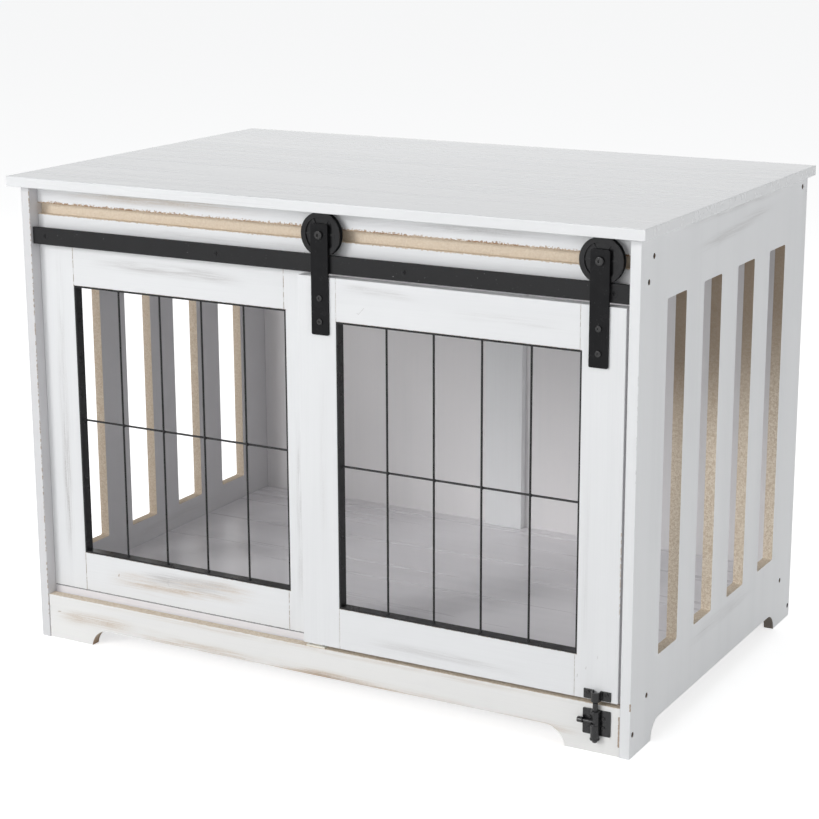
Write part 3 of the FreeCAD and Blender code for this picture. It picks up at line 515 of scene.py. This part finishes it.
def turned_metal(name, colour, axis, roughness=0.3):
    """Bare metal with fine tool marks across an axis."""
    s = Shader(name)
    marks = s.noise(stretched(axis, 2600, 60), 2, 0.5)
    spots = s.noise((120, 120, 120), 3, 0.6, 3.0)
    darker = tuple(channel * 0.72 for channel in colour)
    tint = s.mix(s.ease(spots, 0.45, 0.75), colour, darker)
    gloss = s.ease(marks, 0.3, 0.7, roughness - 0.06, roughness + 0.10)
    normal = s.bump(marks, fine_depth, 0.5, s.worn_edge(metal_edge))
    return s.finish(tint, gloss, normal, Metallic=1.0)


def beech(name):
    """Turned hardwood dowels: long pores and a fluted tone."""
    s = Shader(name)
    pores = s.noise(stretched("x", 40, 1500), 3, 0.6)
    return s.finish(s.mix(s.ease(pores, 0.4, 0.7), beech_colour, beech_dark),
                    s.ease(pores, 0.3, 0.7, 0.5, 0.65), s.bump(pores, pore_depth, 0.6))


# ---- What each piece is made of --------------------------------------------------
def dress(material, *names):
    """Gives CAD pieces a material, in place of what they were imported with."""
    for name in names:
        slots = nodes[name].data.materials
        slots.clear()
        slots.append(material)


def frame_marks(box_left, box_right, low, high, lip, seam):
    """Seams of a barred frame between stiles and rails, and the worn edges of its rails."""
    marks = []
    for x in (box_left, box_right):
        for z0, z1 in ((low, low + rail_width), (high - rail_width, high)):
            marks.append(Mark((x, z0), (x, z1), 0.0005, seam, seam_brown, 0.35))
    for z in (low + rail_width, high - rail_width):
        marks.append(Mark((box_left, z), (box_right + lip, z), 0.0007, 0.75, seam_brown, 0.30))
    return marks


def dress_boards():
    """Paints every board, with the marks and smudges that sit on it."""
    apron_z, front = apron_high.z, apron_low.y
    fixed_low, fixed_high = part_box("fixed_left_stile")
    door_low, door_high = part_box("door_left_stile")
    fixed_seams = frame_marks(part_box("fixed_bottom_rail")[0].x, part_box("fixed_bottom_rail")[1].x,
                              fixed_low.z, fixed_high.z, stile_lip, 0.9)
    # painted shade along the gap below the fixed panel
    fixed_seams.append(Mark((-seam_reach, fixed_low.z), (fixed_reach, fixed_low.z), 0.0009, 0.9,
                            gap_shade_grey))
    door_seams = frame_marks(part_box("door_bottom_rail")[0].x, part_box("door_bottom_rail")[1].x,
                             door_low.z, door_high.z, stile_lip, 0.45)

    # the top's upper face is painted darker, as shade
    dress(painted_board("paint_top", "x", 1.0, shaded_faces=upper_face, shaded_white=paint_top,
                        roughness=0.25, grain_share=0.3, relief=0.0), "top_panel")
    side_smudges = (Smudge("y", "z", (-0.14, 0.648), (0.20, 0.672), 0.013, 0.60, wear_grey),
                    Smudge("y", "z", (-0.22, 0.688), (0.30, 0.690), 0.008, 0.50, wear_grey),
                    Smudge("y", "z", (-0.12, 0.094), (0.18, 0.104), 0.014, 0.55, wear_grey))
    right_chips = (Mark((0.4873, 0.069), (0.4873, 0.078), 0.0009, 0.9, wear_brown),
                   Mark((0.4874, 0.380), (0.4874, 0.520), 0.0004, 0.5, wear_grey, 0.6))
    left_chips = (Mark((-0.4737, 0.030), (-0.4737, 0.690), 0.0006, 0.85, wear_brown, 0.55),)
    # inside faces and the left panel's front edge get painted shade
    dress(painted_board("paint_right_side", "z", 2.0, side_low.y, bare_right_side,
                        side_smudges, right_chips, shaded_side_faces, grain_share=0.6,
                        contrast=0.10), "right_side_panel")
    dress(painted_board("paint_left_side", "z", 3.0, side_low.y, bare_left_side,
                        side_smudges, left_chips, shaded_side_faces, grain_share=0.6,
                        contrast=0.10), "left_side_panel")
    header_smudges = (Smudge("x", "z", (-0.47, 0.683), (-0.05, 0.683), 0.012, 0.80, wear_beige),
                      Smudge("x", "z", (-0.02, 0.684), (0.40, 0.684), 0.010, 0.90, wear_grey),
                      Smudge("x", "z", (-0.40, 0.641), (0.10, 0.641), 0.006, 0.40, wear_grey))
    dress(painted_board("paint_header", "x", 4.0, header_low.y, bare_header, header_smudges,
                        contrast=0.34), "header_rail")
    apron_smudges = (
        Smudge("x", "z", (-0.470, 0.040), (-0.300, 0.038), 0.017, 1.05, wear_beige),
        Smudge("x", "z", (-0.330, 0.036), (-0.060, 0.025), 0.014, 1.25, wear_beige),
        Smudge("x", "z", (-0.130, 0.028), (0.300, 0.019), 0.015, 1.70, wear_beige),
        Smudge("x", "z", (-0.070, 0.027), (0.250, 0.020), 0.009, 1.20, wear_brown),
        Smudge("x", "z", (0.180, 0.020), (0.430, 0.022), 0.013, 1.20, wear_beige),
        Smudge("x", "z", (-0.460, apron_z - 0.004), (0.460, apron_z - 0.004), 0.006, 0.60,
               wear_beige))
    apron_marks = (Mark((0.4713, 0.015), (0.4719, 0.056), 0.0013, 0.9, wear_brown),
                   Mark((-0.4565, 0.0435), (-0.4520, 0.0440), 0.0006, 0.8, wear_brown),
                   Mark((-0.4725, 0.006), (-0.4725, 0.060), 0.0006, 0.6, seam_brown, 0.4))
    dress(painted_board("paint_apron", "x", 5.0, front, bare_apron, apron_smudges, apron_marks,
                        white=paint_cream), "front_apron")
    top_rail_smudges = (
        Smudge("x", "z", (-0.395, 0.588), (-0.095, 0.583), 0.013, 1.00, wear_grey),)
    dress(painted_board("paint_fixed_top", "x", 6.0, fixed_low.y, smudges=top_rail_smudges,
                        marks=fixed_seams), "fixed_top_rail")
    low_rail_smudges = (
        Smudge("x", "z", (-0.385, 0.106), (-0.090, 0.121), 0.021, 1.35, wear_beige),
        Smudge("x", "z", (-0.320, 0.117), (-0.130, 0.122), 0.015, 1.10, wear_grey))
    knots = (Mark((-0.3525, 0.1115), (-0.3515, 0.1150), 0.0007, 0.8, wear_brown),
             Mark((-0.2610, 0.1195), (-0.2625, 0.1150), 0.0006, 0.5, wear_grey),
             Mark((-0.2625, 0.1150), (-0.2600, 0.1110), 0.0006, 0.5, wear_grey))
    dress(painted_board("paint_fixed_low", "x", 7.0, fixed_low.y, smudges=low_rail_smudges,
                        marks=(*fixed_seams, *knots)), "fixed_bottom_rail")
    stile_smudges = (
        Smudge("z", "x", (0.100, -0.4415), (0.500, -0.4415), 0.011, 1.05, wear_grey),
        Smudge("z", "x", (0.430, -0.4380), (0.610, -0.4380), 0.008, 0.55, wear_grey),
        Smudge("z", "x", (0.090, -0.030), (0.420, -0.030), 0.010, 0.60, wear_grey))
    dress(painted_board("paint_fixed_stiles", "z", 8.0, fixed_low.y, smudges=stile_smudges,
                        marks=fixed_seams), "fixed_left_stile", "fixed_right_stile")
    door_rail_smudges = (Smudge("x", "z", (0.045, 0.593), (0.180, 0.588), 0.009, 0.90, wear_grey),
                         Smudge("x", "z", (0.060, 0.092), (0.360, 0.094), 0.014, 0.50, wear_grey),
                         Smudge("x", "z", (0.200, 0.575), (0.400, 0.573), 0.010, 0.40, wear_grey))
    scratch = (Mark((0.0770, 0.5600), (0.0795, 0.5590), 0.0004, 0.5, wear_grey),
               Mark((0.0795, 0.5590), (0.0880, 0.5680), 0.0004, 0.6, wear_grey))
    dress(painted_board("paint_door_rails", "x", 9.0, door_low.y, smudges=door_rail_smudges,
                        marks=(*door_seams, *scratch)), "door_top_rail", "door_bottom_rail")
    door_stile_smudges = (
        Smudge("z", "x", (0.120, 0.4200), (0.420, 0.4210), 0.006, 0.22, wear_grey),
        Smudge("z", "x", (0.150, 0.020), (0.500, 0.022), 0.008, 0.22, wear_grey))
    stile_marks = (Mark((0.4686, 0.200), (0.4686, 0.310), 0.0007, 0.8, wear_beige, 0.45),
                   Mark((0.4222, 0.1155), (0.4228, 0.1185), 0.0005, 0.8, wear_grey),
                   Mark((0.4100, 0.1020), (0.4104, 0.1060), 0.0005, 0.6, wear_grey),
                   Mark((0.4390, 0.1330), (0.4390, 0.1370), 0.0004, 0.5, wear_grey))
    dress(painted_board("paint_door_stiles", "z", 10.0, door_low.y, smudges=door_stile_smudges,
                        marks=(*door_seams, *stile_marks)), "door_left_stile", "door_right_stile")
    # painted shade along the gap at the floor's front edge
    floor_gap_shade = (Mark((-seam_reach, fixed_low.z), (seam_reach, fixed_low.z), 0.0009, 0.9,
                       gap_shade_grey),)
    dress(painted_board("paint_floor", "x", 11.0, fixed_low.y, marks=floor_gap_shade,
                        white=paint_floor, roughness=0.30, grain_share=0.9, relief=0.0),
          "floor_panel")
    dress(painted_board("paint_back", "z", 12.0, white=paint_back, roughness=0.36,
                        grain_share=0.6),
          "back_panel_left", "back_panel_right", "rear_plinth")
    dress(painted_board("paint_post", "z", 13.0, roughness=0.36), "back_centre_post")
    dress(painted_board("paint_stretchers", "x", 14.0), "front_stretcher", "rear_stretcher")


def dress_hardware():
    """Gives the metal, plastic and dowel pieces their materials."""
    dress(coated_steel("track_coat", 0.46, 1.0, 0.20), "track_bar", "track_screws")
    dress(coated_steel("strap_coat", 0.22, 2.0, 0.08, 0.3, 0.3), "left_hanger_strap",
          "right_hanger_strap")
    dress(coated_steel("grille_coat", 0.30, 3.0, 0.28, 0.3, 0.2), "fixed_grille_band",
          "fixed_grille_wires", "door_grille_band", "door_grille_wires")
    dress(coated_steel("latch_coat", 0.16, 4.0, 0.45, 0.2, 1.0), "latch_body", "latch_keeper",
          "bolt_rod", "bolt_knob")
    dress(fastener_steel("screw_black"), "left_side_screws", "right_side_screws",
          "fixed_grille_screws", "door_grille_screws", "latch_screws", "strap_screws",
          "axle_bolts", "axle_nuts", "keeper_screws")
    dress(turned_metal("zinc_plate", zinc_colour, "z"), "back_screws", "cam_discs", "cam_pins",
          "axle_spacers", "floor_guide_screws")
    dress(turned_metal("bush_brass", brass_colour, "y", 0.28), "left_wheel_bush",
          "right_wheel_bush")
    dress(moulded("wheel_nylon", black_plastic, 0.20, shine=0.20, rub_and_highlight=0.45), "left_wheel",
          "right_wheel", "track_spacers")
    dress(moulded("guide_nylon", pale_colour, 0.45, 2.0), "floor_guide")
    dress(beech("dowel_beech"), "fixed_rail_dowels", "fixed_panel_dowels", "door_rail_dowels")


# ---- Added pieces: weld beads and the latch's bands -------------------------------
def place_piece(name, grid, material, body):
    """Makes a smooth piece of a built grid and lets it ride on a body."""
    mesh = bpy.data.meshes.new(name)
    bmesh.ops.recalc_face_normals(grid, faces=grid.faces)
    grid.to_mesh(mesh)
    grid.free()
    mesh.materials.append(material)
    for face in mesh.polygons:
        face.use_smooth = True
    piece = bpy.data.objects.new(name, mesh)
    bpy.context.scene.collection.objects.link(piece)
    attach(piece, body)


def turned(grid, profile, foot, direction, sides=24):
    """Adds a closed turned form: profile is (height, radius) from its foot along a direction."""
    turn = direction.to_track_quat("Z", "Y").to_matrix()
    rings = []
    for height, radius in profile:
        corners = [2 * math.pi * n / sides for n in range(sides)]
        rings.append([grid.verts.new(foot + turn @ Vector((radius * math.cos(a),
                                                            radius * math.sin(a), height)))
                      for a in corners])
    for lower, upper in zip(rings, rings[1:]):
        for n in range(sides):
            m = (n + 1) % sides
            grid.faces.new((lower[n], lower[m], upper[m], upper[n]))
    grid.faces.new(rings[0])
    grid.faces.new(rings[-1])


def weld_grille(prefix, body, material):
    """Beads where a grille's wires meet its band, and where they cross each other."""
    wires_low, wires_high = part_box(prefix + "_grille_wires")
    upright_y = wires_low.y + wire_radius
    level_y = wires_high.y - wire_radius
    left, right = wires_low.x, wires_high.x
    bottom, top = wires_low.z, wires_high.z
    middle = (bottom + top) / 2
    grid = bmesh.new()
    for n in range(1, wire_count + 1):
        x = left + (right - left) * n / (wire_count + 1)
        turned(grid, foot_bead, Vector((x, upright_y, bottom)), Vector((0, 0, 1)))
        turned(grid, foot_bead, Vector((x, upright_y, top)), Vector((0, 0, -1)))
        turned(grid, cross_bead, Vector((x, (upright_y + level_y) / 2, middle)),
               Vector((0, 1, 0)))
    for x, way in ((left, 1), (right, -1)):
        turned(grid, foot_bead, Vector((x, level_y, middle)), Vector((way, 0, 0)))
    place_piece(prefix + "_grille_welds", grid, material, body)


def band_barrel(material):
    """Raised bands round the latch's barrel, above and below the knob's window."""
    body_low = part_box("latch_body")[0]
    rod_low, rod_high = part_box("bolt_rod")
    axis_x = (rod_low.x + rod_high.x) / 2
    axis_y = (rod_low.y + rod_high.y) / 2
    barrel = axis_y - body_low.y
    grid = bmesh.new()
    for low, high in barrel_bands:
        section = ((barrel - band_root, low), (barrel + band_rise * band_shoulder, low),
                   (barrel + band_rise, low + band_slope),
                   (barrel + band_rise, high - band_slope),
                   (barrel + band_rise * band_shoulder, high), (barrel - band_root, high))
        rings = []
        for step in range(band_steps + 1):
            angle = band_half_turn * (2 * step / band_steps - 1)
            rings.append([grid.verts.new((axis_x + radius * math.sin(angle),
                                          axis_y - radius * math.cos(angle), z))
                          for radius, z in section])
        for one, two in zip(rings, rings[1:]):
            for n in range(len(section)):
                m = (n + 1) % len(section)
                grid.faces.new((one[n], one[m], two[m], two[n]))
        grid.faces.new(rings[0])
        grid.faces.new(rings[-1])
    place_piece("latch_barrel_bands", grid, material, "cabinet")


def add_pieces():
    grille = nodes["door_grille_wires"].data.materials[0]
    weld_grille("fixed", "cabinet", grille)
    weld_grille("door", "door", grille)
    band_barrel(nodes["latch_body"].data.materials[0])


# ---- Stage -----------------------------------------------------------------------
def own_light_only(tree):
    """Share of a surface's own glow that the camera, mirrors and glass see, but lamps don't."""
    path = tree.nodes.new("ShaderNodeLightPath")
    total = path.outputs["Is Camera Ray"]
    for output in ("Is Glossy Ray", "Is Transmission Ray"):
        either = tree.nodes.new("ShaderNodeMath")
        either.operation = "MAXIMUM"
        tree.links.new(total, either.inputs[0])
        tree.links.new(path.outputs[output], either.inputs[1])
        total = either.outputs[0]
    return total


def build_floor():
    mesh = bpy.data.meshes.new("studio_floor")
    grid = bmesh.new()
    bmesh.ops.create_grid(grid, x_segments=1, y_segments=1, size=floor_size / 2)
    grid.to_mesh(mesh)
    grid.free()
    floor = bpy.data.objects.new("studio_floor", mesh)
    bpy.context.scene.collection.objects.link(floor)
    s = Shader("studio_floor")
    tree = s.tree
    matt = s.add("BsdfDiffuse", {"Color": floor_colour})
    glow = s.add("Emission", {"Color": (1.0, 1.0, 1.0)})
    seen = s.math("MULTIPLY", own_light_only(tree), floor_glow)
    tree.links.new(seen, glow.inputs["Strength"])
    both = s.add("AddShader")
    tree.links.new(matt.outputs[0], both.inputs[0])
    tree.links.new(glow.outputs[0], both.inputs[1])
    output = s.add("OutputMaterial")
    tree.links.new(both.outputs[0], output.inputs["Surface"])
    mesh.materials.append(s.material)


def build_world():
    world = bpy.data.worlds.new("studio")
    bpy.context.scene.world = world
    world.use_nodes = True
    tree = world.node_tree
    tree.nodes.clear()
    ambient = tree.nodes.new("ShaderNodeBackground")
    ambient.inputs["Color"].default_value = (*ambient_colour, 1.0)
    direction = tree.nodes.new("ShaderNodeTexCoord")
    parts = tree.nodes.new("ShaderNodeSeparateXYZ")
    tree.links.new(direction.outputs["Generated"], parts.inputs[0])
    height = tree.nodes.new("ShaderNodeMapRange")
    height.inputs["To Min"].default_value = ambient_low
    height.inputs["To Max"].default_value = ambient_high
    tree.links.new(parts.outputs["Z"], height.inputs["Value"])
    tree.links.new(height.outputs["Result"], ambient.inputs["Strength"])
    backdrop = tree.nodes.new("ShaderNodeBackground")
    backdrop.inputs["Color"].default_value = (1.0, 1.0, 1.0, 1.0)
    mixed = tree.nodes.new("ShaderNodeMixShader")
    tree.links.new(own_light_only(tree), mixed.inputs[0])
    tree.links.new(ambient.outputs[0], mixed.inputs[1])
    tree.links.new(backdrop.outputs[0], mixed.inputs[2])
    output = tree.nodes.new("ShaderNodeOutputWorld")
    tree.links.new(mixed.outputs[0], output.inputs["Surface"])


def build_lamp(name, place, size, power, mirrored=True):
    """A round lamp that looks at the crate; mirrored says if glossy surfaces show it."""
    lamp = bpy.data.lights.new(name, "AREA")
    lamp.shape = "DISK"
    lamp.size = size
    lamp.energy = power
    holder = bpy.data.objects.new(name, lamp)
    holder.location = place
    holder.rotation_euler = (light_target - place).to_track_quat("-Z", "Y").to_euler()
    holder.visible_camera = False
    holder.visible_glossy = mirrored
    bpy.context.scene.collection.objects.link(holder)


def build_camera():
    back = Vector((math.sin(camera_azimuth) * math.cos(camera_elevation),
                   -math.cos(camera_azimuth) * math.cos(camera_elevation),
                   math.sin(camera_elevation)))
    lens = bpy.data.cameras.new("camera")
    lens.sensor_width = sensor_width
    lens.lens = focal_pixels / picture_width * sensor_width
    camera = bpy.data.objects.new("camera", lens)
    turn = (-back).to_track_quat("-Z", "Y").to_matrix().to_4x4()
    camera.matrix_world = (Matrix.Translation(camera_target + camera_distance * back) @ turn
                           @ Matrix.Rotation(camera_roll, 4, "Z"))
    bpy.context.scene.collection.objects.link(camera)
    bpy.context.scene.camera = camera


dress_boards()
dress_hardware()
add_pieces()
build_floor()
build_world()
build_lamp("key_light", key_place, key_size, key_power)
build_lamp("front_light", front_place, front_size, front_power)
build_lamp("fill_light", fill_place, fill_size, fill_power, mirrored=False)
build_lamp("side_light", side_place, side_size, side_power, mirrored=False)
build_lamp("back_light", back_place, back_size, back_power)
build_camera()
bpy.context.scene.view_settings.view_transform = "Standard"
